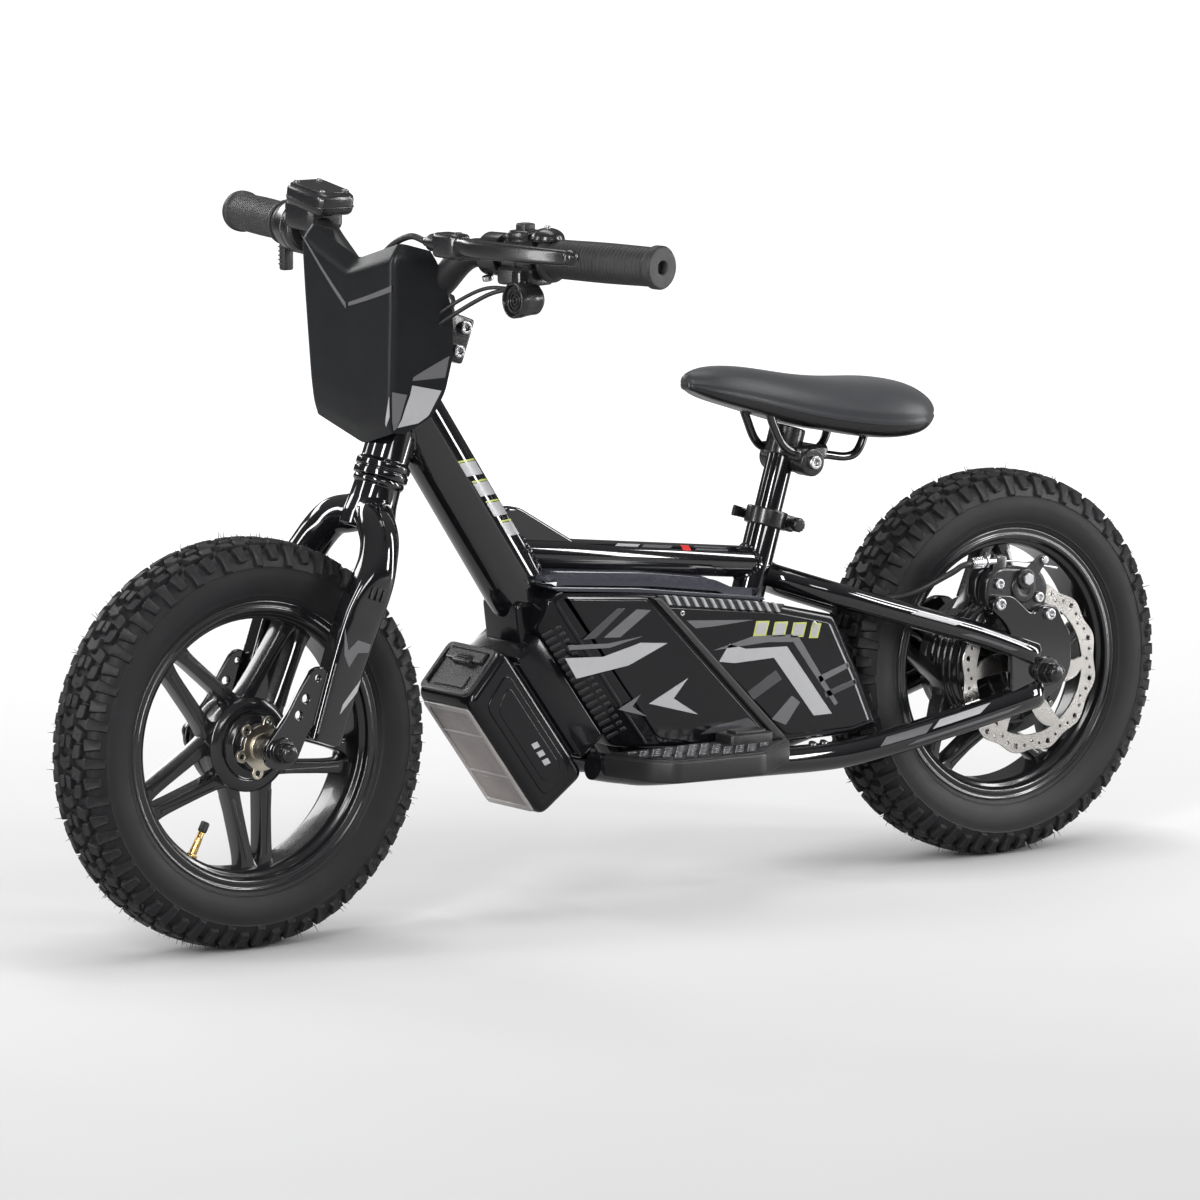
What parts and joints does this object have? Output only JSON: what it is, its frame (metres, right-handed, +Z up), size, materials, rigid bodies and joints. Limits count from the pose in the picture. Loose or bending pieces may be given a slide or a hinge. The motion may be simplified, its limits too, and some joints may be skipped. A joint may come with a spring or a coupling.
{
  "type": "kids electric balance bike",
  "caption": "Electric balance bike for a small child, with knobbly tyres, a hub motor, a slide-in battery under the frame, fixed footrests, a number plate and a cable disc brake.",
  "frame": {"origin": "on the ground, midway between the two axles, on the bike's middle plane", "axes": "+Z up, the front of the bike points to -X, its left side faces -Y"},
  "size_m": [1.046, 0.5804, 0.572],
  "materials": {
    "gloss_black_paint": "gloss black enamel on steel tube",
    "satin_black_metal": "satin black on cast and machined alloy",
    "tyre_rubber": "matt black knobbly rubber",
    "grip_rubber": "soft matt black rubber",
    "gloss_shell": "gloss black moulded plastic",
    "matt_plastic": "matt black moulded plastic",
    "bright_steel": "bare stamped steel",
    "bare_aluminium": "bare cast aluminium",
    "brass": "bare brass",
    "saddle_cover": "charcoal vinyl over foam"
  },
  "bodies": {
    "frame": {"head_tube": "gloss_black_paint", "down_tube": "gloss_black_paint", "top_tube": "gloss_black_paint", "keel_tube": "gloss_black_paint", "seat_tube": "gloss_black_paint", "front_cross_tube": "gloss_black_paint", "rear_cross_tube": "gloss_black_paint", "upper_stay_left": "gloss_black_paint", "upper_stay_right": "gloss_black_paint", "lower_stay_left": "gloss_black_paint", "lower_stay_right": "gloss_black_paint", "dropout_left": "gloss_black_paint", "dropout_right": "gloss_black_paint", "rear_axle": "satin_black_metal", "motor_stator": "bright_steel", "body_shell_left": "gloss_shell", "body_shell_right": "gloss_shell", "top_cover": "gloss_shell", "battery_dock": "matt_plastic", "motor_controller": "bare_aluminium", "footrest_left": "matt_plastic", "footrest_right": "matt_plastic", "seat_collar": "satin_black_metal", "brake_caliper": "satin_black_metal", "brake_cable": "matt_plastic"},
    "steering": {"fork_crown": "gloss_black_paint", "fork_leg_left": "gloss_black_paint", "fork_leg_right": "gloss_black_paint", "front_axle": "satin_black_metal", "stem": "satin_black_metal", "handlebar": "gloss_black_paint", "grip_left": "grip_rubber", "grip_right": "grip_rubber", "number_plate": "gloss_shell", "brake_perch": "satin_black_metal", "switch_pod": "matt_plastic", "horn": "matt_plastic", "bell": "matt_plastic", "throttle_housing": "matt_plastic"},
    "front_wheel": {"front_rim": "satin_black_metal", "front_tyre": "tyre_rubber", "front_valve": "brass", "front_hub_flange": "bright_steel"},
    "rear_wheel": {"rear_rim": "satin_black_metal", "rear_tyre": "tyre_rubber", "motor_cover": "satin_black_metal", "brake_rotor": "bright_steel"},
    "brake_lever": {"brake_lever": "satin_black_metal"},
    "power_button": {"power_button": "matt_plastic"},
    "throttle": {"throttle_paddle": "matt_plastic"},
    "battery": {"battery": "matt_plastic"},
    "battery_latch": {"battery_latch": "matt_plastic"},
    "seat": {"seat_post": "gloss_black_paint", "saddle_clamp": "satin_black_metal", "saddle_rails": "satin_black_metal", "saddle": "saddle_cover"},
    "seat_lever": {"seat_lever": "satin_black_metal"},
    "caliper_arm": {"caliper_arm": "bright_steel"}
  },
  "joints": [
    {"name": "steering_turn", "type": "hinge", "parent": "frame", "child": "steering", "pos_m": [-0.235, 0, 0.3518], "axis": [0.342, 0, 0.9397], "range_deg": [-40, 40], "deforming": ["brake_cable"]},
    {"name": "front_wheel_spin", "type": "hinge", "parent": "steering", "child": "front_wheel", "pos_m": [-0.365, 0, 0.158], "axis": [0, 1, 0], "continuous": true},
    {"name": "rear_wheel_spin", "type": "hinge", "parent": "frame", "child": "rear_wheel", "pos_m": [0.365, 0, 0.158], "axis": [0, 1, 0], "continuous": true},
    {"name": "brake_lever_pull", "type": "hinge", "parent": "steering", "child": "brake_lever", "pos_m": [-0.2465, -0.124, 0.5415], "axis": [0, 0, 1], "range_deg": [0, 13], "stiffness_Nm_per_rad": 1.5, "springref_deg": -8.59},
    {"name": "caliper_arm_swing", "type": "hinge", "parent": "frame", "child": "caliper_arm", "pos_m": [0.346, -0.0705, 0.235], "axis": [0, -1, 0], "range_deg": [0, 13]},
    {"name": "throttle_push", "type": "hinge", "parent": "steering", "child": "throttle", "pos_m": [-0.20074, 0.1715, 0.534], "axis": [0.225, 0.9744, 0], "range_deg": [0, 28], "stiffness_Nm_per_rad": 0.12, "springref_deg": -20.05},
    {"name": "power_button_press", "type": "slide", "parent": "steering", "child": "power_button", "axis": [0, 0, -1], "range_m": [0, 0.0015], "stiffness_N_per_m": 600, "springref_m": -0.001},
    {"name": "battery_slide", "type": "slide", "parent": "frame", "child": "battery", "axis": [-0.5878, 0, 0.809], "range_m": [0, 0.028]},
    {"name": "battery_latch_press", "type": "slide", "parent": "battery", "child": "battery_latch", "axis": [0.5878, 0, -0.809], "range_m": [0, 0.0025], "stiffness_N_per_m": 500, "springref_m": -0.001},
    {"name": "seat_height", "type": "slide", "parent": "frame", "child": "seat", "axis": [0.2924, 0, 0.9563], "range_m": [-0.018, 0.05]},
    {"name": "seat_lever_swing", "type": "hinge", "parent": "frame", "child": "seat_lever", "pos_m": [0.15473, 0.0205, 0.28781], "axis": [-0.2924, 0, -0.9563], "range_deg": [0, 150]}
  ],
  "couplings": [
    {"joint": "caliper_arm_swing", "follows": "brake_lever_pull", "ratio": 1}
  ]
}
